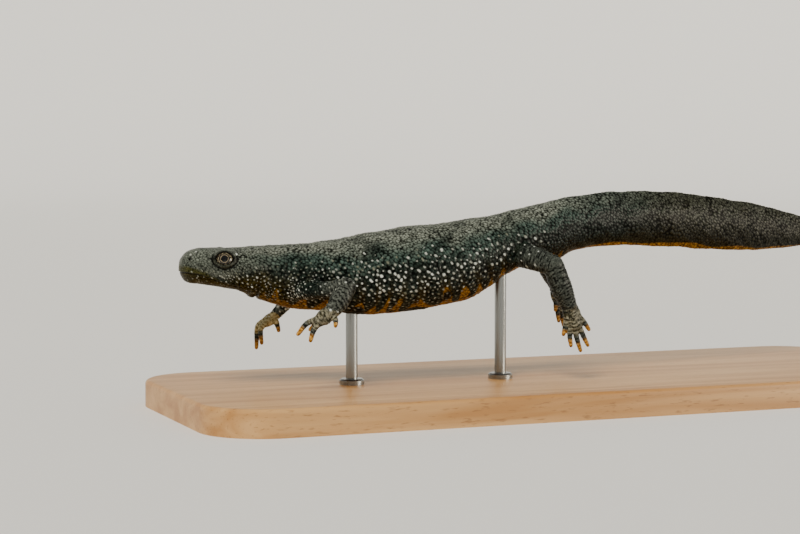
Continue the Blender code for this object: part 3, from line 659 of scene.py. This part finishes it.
# Brown from the mouth to the throat, an olive upper lip, and brown between the bars above the orange
below_mouth = ramp(-over_mouth, -0.1, 0.1) * (1 - ramp(s, 9.5, 12))
throat = np.maximum(below_mouth, (1 - ramp(height + 0.04 * waves(2.0, 45), 0.33, 0.46)) * ramp(s, 7, 12))
throat *= (1 - ramp(s, 17, 22)) * trunk
lip_edge = 1.3 - 0.15 * np.clip(s, 0, 8) + 0.25 * waves(1.2, 71)
upper_lip = ramp(-over_mouth, -lip_edge - 0.4, 0.3 - lip_edge) * (1 - ramp(s, 8, 11)) * trunk
low_flank = bell(height, 0.3, 0.13) * ramp(bar, -0.25, 0.5) * ramp(s, 20, 24) * (1 - ramp(s, 62, 74)) * trunk
# The far half of the tail is darker and browner than the back: partly its own colour, partly painted shade
low_flank = np.maximum(low_flank, 0.6 * ramp(s, 84, 104))
# Slate on the upper flanks, paler on the back, the top of the head and the cheeks, with darker patches
upper_flank = ramp(height + 0.05 * waves(4.0, 47), 0.50, 0.62)
cheek = 0.14 * (1 - ramp(s, 7, 13))
back = ramp(height + 0.05 * waves(3.0, 49), 0.63, 0.8)
back = np.clip(back + (1 - ramp(s, 8, 20)) * ramp(height + cheek, 0.42, 0.56), 0, 1)
back *= 1 - 0.12 * (1 - ramp(s, 8, 14))
dark_patch = 0.7 * ramp(waves(2.6, 51), 0.4, 0.9) * bell(height, 0.7, 0.22) * ramp(s, 18, 24)
dark_patch = np.maximum(dark_patch, 0.34 * (1 - ramp(s, 14, 20)) * bell(height, 0.52, 0.17))

# Shallow grooves between the ribs, and folds of skin at the neck and round the shoulder
RIB_SPACING = 2.9
rib_phase = (s + 1.4 * (height - 0.5) + 0.2 * waves(5.0, 53)) / RIB_SPACING
ribs = np.clip(np.sin(2 * math.pi * rib_phase), 0, 1) ** 3
ribs *= ramp(s, 25, 29) * (1 - ramp(s, 58, 62)) * bell(height, 0.45, 0.25) * trunk
neck_fold = bell(s + 0.9 * (height - 0.5) + 0.12 * waves(2.0, 55), 18.9, 0.22) * ramp(height, 0.2, 0.35)
neck_fold *= 1 - ramp(height, 0.66, 0.8)
for start, lean in ((16.2, 2.4), (21.0, -3.0), (22.6, -4.5)):
    fold = bell(s + lean * (height - 0.4) + 0.15 * waves(2.0, 57), start, 0.2)
    neck_fold = np.maximum(neck_fold, 0.6 * fold * bell(height, 0.38, 0.12))
SHOULDER_AT = (23.5, -3.0)
shoulder = np.hypot(s - SHOULDER_AT[0], up - SHOULDER_AT[1])
for radius, strength in ((2.5, 1.2), (3.3, 0.45), (4.5, 0.45), (5.9, 0.45)):
    fold = bell(shoulder + 0.15 * waves(2.0, 65), radius, 0.2) * ramp(height, 0.36, 0.46) * (s < 29)
    neck_fold = np.maximum(neck_fold, strength * fold)
neck_fold *= trunk
# Painted shade in the folds
crease_shade = np.maximum(crease_shade, 0.6 * neck_fold)
# Wrinkles run across the limbs about 0.5 mm apart, a little further on the digits
wrinkled = limb * ramp(walked - np.where(front_pair, 5.0, 1.0), 0.0, 4.0)
bend = walked + 0.16 * waves(0.7, 19) + 0.3 * waves(2.2, 59)
wrinkle = (0.5 + 0.5 * np.sin(2 * math.pi * bend / np.where(part == DIGIT, 0.7, 0.5))) ** 0.8
wrinkle *= 0.72 + 0.28 * ramp(waves(0.5, 67), -0.5, 0.3)
grain = grain * (0.45 + 0.55 * grain_size) * (1 - 0.1 * snout)
# The front of the snout and the lids are smoother, with only fine pits
smooth = np.maximum(0.6 * (1 - ramp(s, 5.0, 11.0)), 0.7 * lid_rim) * trunk
grain += (0.3 + 0.5 * grain - grain) * smooth
grain *= 1 - 0.35 * ramp(waves(0.6, 87), 0.2, 0.9) * (1 - ramp(s, 6.0, 14.0))
# The wrinkles set the colour too: painted shade in their grooves and painted light on their ridges
grain += (wrinkle * (0.4 + 0.6 * grain) - grain) * wrinkled

# How far each grain and wart stands out, in millimetres
rise_of_grain = 0.15 - 0.06 * snout - 0.06 * tail_share - 0.07 * (1 - ramp(height, 0.16, 0.3)) * (1 - snout)
rise_of_grain = rise_of_grain * trunk + limb * np.where(part == DIGIT, 0.06, 0.12)
lift = rise_of_grain * grain * (1 - 0.6 * lump * trunk) + 0.12 * lump * (1 - 0.5 * snout) * (1 - 0.6 * limb)
lift += (0.04 * waves(1.3, 13) + 0.09 * waves(4.0, 17) * (1 - snout)) * trunk
lift -= 0.11 * ribs + 0.16 * neck_fold
lift *= (1 - 0.85 * lid_rim) * (1 - nostril)
move_vertices(skin, skin_places + face * lift[:, None])

fleck *= np.clip(1 - 1.2 * lid_rim, 0, 1) * (1 - crease_shade) * (1 - 0.6 * orange)
# Lone bright warts behind the left eye and above the left nostril
for at, over, bright in ((9.8, 2.6, 1.0), (2.8, 2.8, 0.4), (1.8, 2.3, 0.3)):
    centre = skin_places[np.argmin(np.hypot(s - at, up - over) + 9 * (out > 0))]
    lone = ramp(0.3 - np.linalg.norm(skin_places - centre, axis=1), 0, 0.12)
    fleck, wart_white = np.maximum(fleck, lone), wart_white + (bright - wart_white) * lone
digit = limb * (part == DIGIT)
palm = limb * np.maximum((part == PALM) * ramp(tipward, 0.0, 0.5), digit * (tipward < 0.5))
palm *= 0.65 + 0.35 * ramp(waves(0.6, 61), -0.5, 0.5)
# The right hand's pale cream: partly its own colour, partly painted light
pale_and_lit_hand = far_arm * ramp(walked, 11.8, 13.2) * np.where(part == DIGIT, 1 - ramp(tipward, 0.48, 0.58), 0.8)
# Below, the right foreleg takes the flank and back colours and is painted lighter and bluer than the left: partly
# painted light against the body's shadow
marks = {
    "grain": grain,
    # On the tail the paler flank and back colours fade: partly its own colour, partly painted shade
    "upper_flank": np.maximum(upper_flank * (1 - 0.6 * tail_share), far_arm),
    "back": np.maximum(back * (1 - 0.6 * tail_share), 0.3 * far_arm),
    "dark_patch": dark_patch,
    "low_flank": low_flank,
    "throat": throat,
    "lip": upper_lip * (1 - below_mouth),
    "orange": np.maximum(orange, tail_edge),
    "blotch": blotch,
    # The hind legs keep less of the limbs' grey and stay darker: painted shade
    "limb": wrinkled * (1 - 0.65 * far_arm) * np.where(front_pair, 1, 0.6),
    "palm": palm,
    "pale_and_lit_hand": pale_and_lit_hand,
    "fingertip": digit * ramp(tipward, 0.66, 0.84),
    "lid": lid_rim,
    "crease_shade": crease_shade,
    "fleck": fleck,
    "white": wart_white,
}
for name, values in marks.items():
    layer = skin.data.attributes.new(name, "FLOAT", "POINT")
    layer.data.foreach_set("value", np.asarray(values, dtype=np.float32))
skin.data.transform(Matrix.Scale(MM, 4))
skin.data.update()


# The skin is moist and finely granular: slate on the back, near black on the flanks, brown on the throat and
# orange with black blotches on the belly. It gives a soft broken sheen, like wet fine leather.
def linear(text):
    """An sRGB hex colour as the linear values that a shader takes."""
    parts = [int(text[i : i + 2], 16) / 255 for i in (1, 3, 5)]
    return (*[p / 12.92 if p <= 0.04045 else ((p + 0.055) / 1.055) ** 2.4 for p in parts], 1.0)


def add(tree, kind, sockets=None, **settings):
    """Adds a node with its settings, and gives each socket a link, a hex colour or a value."""
    made = tree.nodes.new("ShaderNode" + kind)
    for name, value in settings.items():
        setattr(made, name, value)
    for name, value in (sockets or {}).items():
        if isinstance(value, bpy.types.NodeSocket):
            tree.links.new(value, made.inputs[name])
        else:
            made.inputs[name].default_value = linear(value) if isinstance(value, str) else value
    return made.outputs


def new_material(name):
    made = bpy.data.materials.new(name)
    made.use_nodes = True
    return made, made.node_tree, made.node_tree.nodes["Principled BSDF"]


wet_skin, tree, shader = new_material("moist granular skin")
spot = add(tree, "TexCoord")["Object"]
# Pigment cells gather in specks about 0.3 mm apart
specks = add(tree, "TexNoise", {"Vector": spot, "Scale": 3200.0, "Detail": 3.0})["Fac"]
# The tone runs from the gaps between the grains to their tops: partly the skin's own tone, partly painted shade and
# painted glints
tone = add(tree, "Attribute", attribute_name="grain")["Fac"]
tone = add(tree, "Math", {0: specks, 1: 1.1, 2: tone}, operation="MULTIPLY_ADD")[0]
tone = add(tree, "MapRange", {"Value": tone, "From Min": 0.55, "From Max": 1.5})["Result"]
skin_colour = add(tree, "Mix", {0: tone, 6: "#020402", 7: "#1f2a23"}, data_type="RGBA")[2]
# Each marking from the gaps between the grains, and the grooves of the wrinkles, to their tops: partly the skin's
# own tone, partly painted shade in the gaps and painted glints on the tops
for name, gaps, tops in (
    ("upper_flank", "#020604", "#47584f"),
    ("back", "#10120d", "#82877a"),
    ("dark_patch", "#010201", "#1f2821"),
    ("low_flank", "#070500", "#2f2706"),
    ("throat", "#0b0900", "#40370a"),
    ("lip", "#0a0b02", "#4a4924"),
    ("orange", "#472d07", "#a7781e"),
    ("blotch", "#030402", "#151710"),
    ("limb", "#0a0b09", "#686c63"),
    ("palm", "#2a281b", "#a19b82"),
    ("pale_and_lit_hand", "#776739", "#e4d6a4"),
    ("fingertip", "#7a4a10", "#dcaa52"),
    ("lid", "#090a07", "#505346"),
):
    share = add(tree, "Attribute", attribute_name=name)["Fac"]
    marked = add(tree, "Mix", {0: tone, 6: gaps, 7: tops}, data_type="RGBA")[2]
    skin_colour = add(tree, "Mix", {0: share, 6: skin_colour, 7: marked}, data_type="RGBA")[2]
whiteness = add(tree, "Attribute", attribute_name="white")["Fac"]
white = add(tree, "Mix", {0: whiteness, 6: "#6a6c5c", 7: "#e6ebe2"}, data_type="RGBA")[2]
share = add(tree, "Attribute", attribute_name="fleck")["Fac"]
broken = add(tree, "MapRange", {"Value": specks, "From Min": 0.24, "From Max": 0.42})["Result"]
share = add(tree, "Math", {0: share, 1: broken}, operation="MULTIPLY")[0]
skin_colour = add(tree, "Mix", {0: share, 6: skin_colour, 7: white}, data_type="RGBA")[2]
# Painted shade: grooves, folds, the mouth's slit, the nostrils and the vent darkened to near black
share = add(tree, "Attribute", attribute_name="crease_shade")["Fac"]
skin_colour = add(tree, "Mix", {0: share, 6: skin_colour, 7: "#050604"}, data_type="RGBA")[2]
tree.links.new(skin_colour, shader.inputs["Base Color"])
spread = add(tree, "MapRange", {"Value": specks, "To Min": 0.22, "To Max": 0.5})["Result"]
tree.links.new(spread, shader.inputs["Roughness"])
# The gaps between the grains are too deep and narrow to catch a highlight
sheen = add(tree, "MapRange", {"Value": tone, "To Min": 0.05, "To Max": 0.3})["Result"]
tree.links.new(sheen, shader.inputs["Specular IOR Level"])
shader.inputs["IOR"].default_value = 1.38
# Finest creases of the skin, about 0.1 mm apart
fine = add(tree, "TexNoise", {"Vector": spot, "Scale": 9000.0, "Detail": 3.0})["Fac"]
fine = add(tree, "Bump", {"Height": fine, "Strength": 0.25, "Distance": 0.00004})[0]
tree.links.new(fine, shader.inputs["Normal"])
skin.data.materials.append(wet_skin)
flesh = [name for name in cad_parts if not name.startswith(("stand_", "eye_"))]
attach(skin, "root")
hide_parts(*flesh)

# Eyes
# Glossy wet balls: a round black pupil with a thin gold ring round it, in a brown iris flecked with gold.
eye_look, tree, shader = new_material("wet eye")
spot = add(tree, "TexCoord")["Object"]
gaze = add(tree, "Attribute", attribute_name="gaze")["Fac"]
# Strands of gold pigment about 0.2 mm long
strands = add(tree, "TexNoise", {"Vector": spot, "Scale": 4200.0, "Detail": 4.0})["Fac"]
wander = add(tree, "Math", {0: strands, 1: 0.16, 2: gaze}, operation="MULTIPLY_ADD")[0]
iris = add(tree, "MapRange", {"Value": strands, "From Min": 0.46, "From Max": 0.66})["Result"]
iris = add(tree, "Mix", {0: iris, 6: "#1a120a", 7: "#958a6c"}, data_type="RGBA")[2]
# From the pupil outwards: where each ring starts and ends, as the angle from the middle of the gaze
for inner, outer, colour in ((0.72, 0.67, "#140d06"), (0.55, 0.52, "#8a7c62"), (0.49, 0.46, "#0c0804")):
    share = add(tree, "MapRange", {"Value": wander, "From Min": inner, "From Max": outer})["Result"]
    iris = add(tree, "Mix", {0: share, 6: iris, 7: colour}, data_type="RGBA")[2]
rim = add(tree, "MapRange", {"Value": wander, "From Min": 0.95, "From Max": 1.2})["Result"]
iris = add(tree, "Mix", {0: rim, 6: iris, 7: "#0c0905"}, data_type="RGBA")[2]
pupil = add(tree, "MapRange", {"Value": wander, "From Min": 0.44, "From Max": 0.41})["Result"]
eye_colour = add(tree, "Mix", {0: pupil, 6: iris, 7: "#020303"}, data_type="RGBA")[2]
tree.links.new(eye_colour, shader.inputs["Base Color"])
shader.inputs["Roughness"].default_value = 0.15
shader.inputs["IOR"].default_value = 1.38
shader.inputs["Coat Weight"].default_value = 0.3
shader.inputs["Coat Roughness"].default_value = 0.03
for side, name in ((-1, "eye_left"), (1, "eye_right")):
    middle, look, front, top = eye_axes(side)
    bpy.ops.mesh.primitive_uv_sphere_add(segments=64, ring_count=48, radius=EYE_RADIUS)
    eye = bpy.context.object
    eye.name = eye.data.name = "newt_" + name
    ball = vertices(eye)
    away = np.arccos(np.clip(ball[:, 2] / EYE_RADIUS, -1, 1))
    basis = np.stack((front, np.cross(look, front), look))
    move_vertices(eye, (middle + ball @ basis) * MM)
    layer = eye.data.attributes.new("gaze", "FLOAT", "POINT")
    layer.data.foreach_set("value", away.astype(np.float32))
    eye.data.shade_smooth()
    eye.data.materials.append(eye_look)
    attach(eye, "root")
    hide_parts(name)

# Stand
# A planed board of pale oiled beech with rounded corners and an eased top edge. Two satin steel rods are set
# into it, each with a small collar, and carry the newt at the belly.
beech, tree, shader = new_material("oiled beech")
spot = add(tree, "TexCoord")["Object"]
# Growth rings about 5 mm apart run along the board, and beech's short dark flecks are about 2 mm long
stretched = add(tree, "VectorMath", {0: spot, 1: (9, 120, 160)}, operation="MULTIPLY")[0]
rings = add(tree, "TexNoise", {"Vector": stretched, "Scale": 1.6, "Detail": 4.0, "Distortion": 0.6})["Fac"]
share = add(tree, "MapRange", {"Value": rings, "From Min": 0.35, "From Max": 0.65})["Result"]
wood = add(tree, "Mix", {0: share, 6: "#a9773f", 7: "#c69a63"}, data_type="RGBA")[2]
stretched = add(tree, "VectorMath", {0: spot, 1: (450, 2600, 2600)}, operation="MULTIPLY")[0]
rays = add(tree, "TexNoise", {"Vector": stretched, "Scale": 1.0, "Detail": 2.0})["Fac"]
share = add(tree, "MapRange", {"Value": rays, "From Min": 0.6, "From Max": 0.72, "To Max": 0.55})["Result"]
wood = add(tree, "Mix", {0: share, 6: wood, 7: "#7a4f26"}, data_type="RGBA")[2]
tree.links.new(wood, shader.inputs["Base Color"])
shader.inputs["Roughness"].default_value = 0.42
tree.links.new(add(tree, "Bump", {"Height": rays, "Strength": 0.15, "Distance": 0.0001})[0], shader.inputs["Normal"])

# Polished along its length in lines about 0.25 mm apart, which break the highlight up across the rod
steel, tree, shader = new_material("satin stainless steel")
spot = add(tree, "TexCoord")["Object"]
stretched = add(tree, "VectorMath", {0: spot, 1: (4000, 4000, 60)}, operation="MULTIPLY")[0]
drawn = add(tree, "TexNoise", {"Vector": stretched, "Scale": 1.0, "Detail": 2.0})["Fac"]
spread = add(tree, "MapRange", {"Value": drawn, "To Min": 0.22, "To Max": 0.38})["Result"]
shader.inputs["Base Color"].default_value = linear("#919392")
shader.inputs["Metallic"].default_value = 1.0
tree.links.new(spread, shader.inputs["Roughness"])


def stand_piece(name, rings, finish, node):
    """A smooth piece through rings in millimetres, in the place of one of the stand's solids."""
    mesh = bpy.data.meshes.new(name)
    places, faces = mesh_of_rings(rings * MM)
    mesh.from_pydata(places.tolist(), [], faces)
    mesh.shade_smooth()
    mesh.set_sharp_from_angle(angle=math.radians(30))
    mesh.materials.append(finish)
    piece = bpy.data.objects.new(name, mesh)
    bpy.context.scene.collection.objects.link(piece)
    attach(piece, "root")
    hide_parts(node)


BOARD_CORNER, BOARD_EASE, CORNER_POINTS = 12.0, 0.8, 25
low, high = (np.array(corner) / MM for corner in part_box("stand_base"))
board_top = high[2]
turn = np.radians(np.concatenate([np.linspace(90 * k, 90 * k + 90, CORNER_POINTS) for k in range(4)]))
around = np.stack((np.cos(turn), np.sin(turn)), axis=-1)
signs = np.repeat(((1, 1), (-1, 1), (-1, -1), (1, -1)), CORNER_POINTS, axis=0)
corners = (low[:2] + high[:2]) / 2 + signs * ((high[:2] - low[:2]) / 2 - BOARD_CORNER)
rings = [np.insert(corners + around * BOARD_CORNER, 2, low[2], axis=1)]
for ease in np.radians(np.linspace(0, 90, 7)):
    reach = BOARD_CORNER - BOARD_EASE * (1 - math.cos(ease))
    level = board_top - BOARD_EASE * (1 - math.sin(ease))
    rings.append(np.insert(corners + around * reach, 2, level, axis=1))
stand_piece("display_board", np.array(rings), beech, "stand_base")

# Radii of rod and collar, the collar's height and eased edge, and how far the rods run up into the belly
ROD, COLLAR, COLLAR_TALL, COLLAR_EDGE, ROD_IN_BELLY = 1.1, 2.3, 1.1, 0.3, 0.6
turn = np.linspace(0, 2 * math.pi, 64, endpoint=False)
for place in ("front", "rear"):
    low, high = (np.array(corner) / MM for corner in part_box("stand_rod_" + place))
    # From inside the board, over the collar and up into the belly
    collar_top = board_top + COLLAR_TALL
    profile = ((ROD, low[2]), (ROD, board_top), (COLLAR, board_top), (COLLAR, collar_top - COLLAR_EDGE))
    profile += ((COLLAR - COLLAR_EDGE, collar_top), (ROD, collar_top), (ROD, high[2] + ROD_IN_BELLY))
    middle = (low + high) / 2
    rings = [[(middle[0] + r * math.cos(t), middle[1] + r * math.sin(t), z) for t in turn] for r, z in profile]
    stand_piece("display_rod_" + place, np.array(rings), steel, "stand_rod_" + place)

# Floor, light and camera
# A round pale sweep with soft light from above the camera, and the camera low and to the newt's left as in
# the photo.
# In metres
FLAT_RADIUS, SWEEP_RADIUS, FIRST_RING = 1.2, 0.8, 0.01
turn = np.linspace(0, 2 * math.pi, 96, endpoint=False)
rings = [[(FIRST_RING * math.cos(t), FIRST_RING * math.sin(t), 0.0) for t in turn]]
for bend in np.radians(np.linspace(0, 90, 25)):
    reach = FLAT_RADIUS + SWEEP_RADIUS * math.sin(bend)
    height_there = SWEEP_RADIUS * (1 - math.cos(bend))
    rings.append([(reach * math.cos(t), reach * math.sin(t), height_there) for t in turn])
places, faces = mesh_of_rings(np.array(rings))
mesh = bpy.data.meshes.new("floor")
# Open at the top, so the last face is left out
mesh.from_pydata(places.tolist(), [], faces[:-1])
mesh.shade_smooth()
floor = bpy.data.objects.new("floor", mesh)
bpy.context.scene.collection.objects.link(floor)
paper, tree, shader = new_material("pale paper")
shader.inputs["Base Color"].default_value = linear("#e6e5e0")
shader.inputs["Roughness"].default_value = 0.9
shader.inputs["Specular IOR Level"].default_value = 0.0
mesh.materials.append(paper)


def shine(name, kind, place, target, strength, colour, **settings):
    """A lamp at a place that points to its target."""
    light = bpy.data.lights.new(name, kind)
    light.energy = strength
    light.color = linear(colour)[:3]
    for setting, value in settings.items():
        setattr(light, setting, value)
    lamp = bpy.data.objects.new(name, light)
    lamp.location = place
    lamp.rotation_euler = (Vector(target) - Vector(place)).to_track_quat("-Z", "Y").to_euler()
    bpy.context.scene.collection.objects.link(lamp)


# The softbox lights everything and isn't mirrored, and the window is only the glint in the eye and on the wet skin
shine("softbox", "SUN", (-0.5, -0.55, 0.85), (0, 0, 0), 3.7, "#fffaf2", angle=math.radians(24))
bpy.data.objects["softbox"].visible_glossy = False
shine("window", "AREA", (0.355, -0.27, 0.07), (-0.066, -0.003, 0.029), 2.0, "#fff4e0", size=0.2)
bpy.data.objects["window"].visible_diffuse = False
world = bpy.data.worlds.new("studio")
world.use_nodes = True
backdrop = world.node_tree.nodes["Background"]
backdrop.inputs["Color"].default_value = linear("#f5f4f0")
# Over the paper's edge the camera sees the same pale grey, brighter than the light that it gives
seen = add(world.node_tree, "LightPath")["Is Camera Ray"]
seen = add(world.node_tree, "MapRange", {"Value": seen, "To Min": 0.4, "To Max": 1.2})["Result"]
world.node_tree.links.new(seen, backdrop.inputs["Strength"])
bpy.context.scene.world = world

# 22 degrees ahead of square to the newt, looking down a little under 4 degrees
lens = bpy.data.cameras.new("camera")
lens.sensor_width, lens.lens = 36.0, 90.0
lens.clip_start, lens.clip_end = 0.01, 10.0
camera = bpy.data.objects.new("camera", lens)
camera.location = (-0.1719, -0.34707, 0.051)
camera.rotation_euler = (math.radians(90 - 3.748), 0, math.radians(-22))
bpy.context.scene.collection.objects.link(camera)
bpy.context.scene.camera = camera
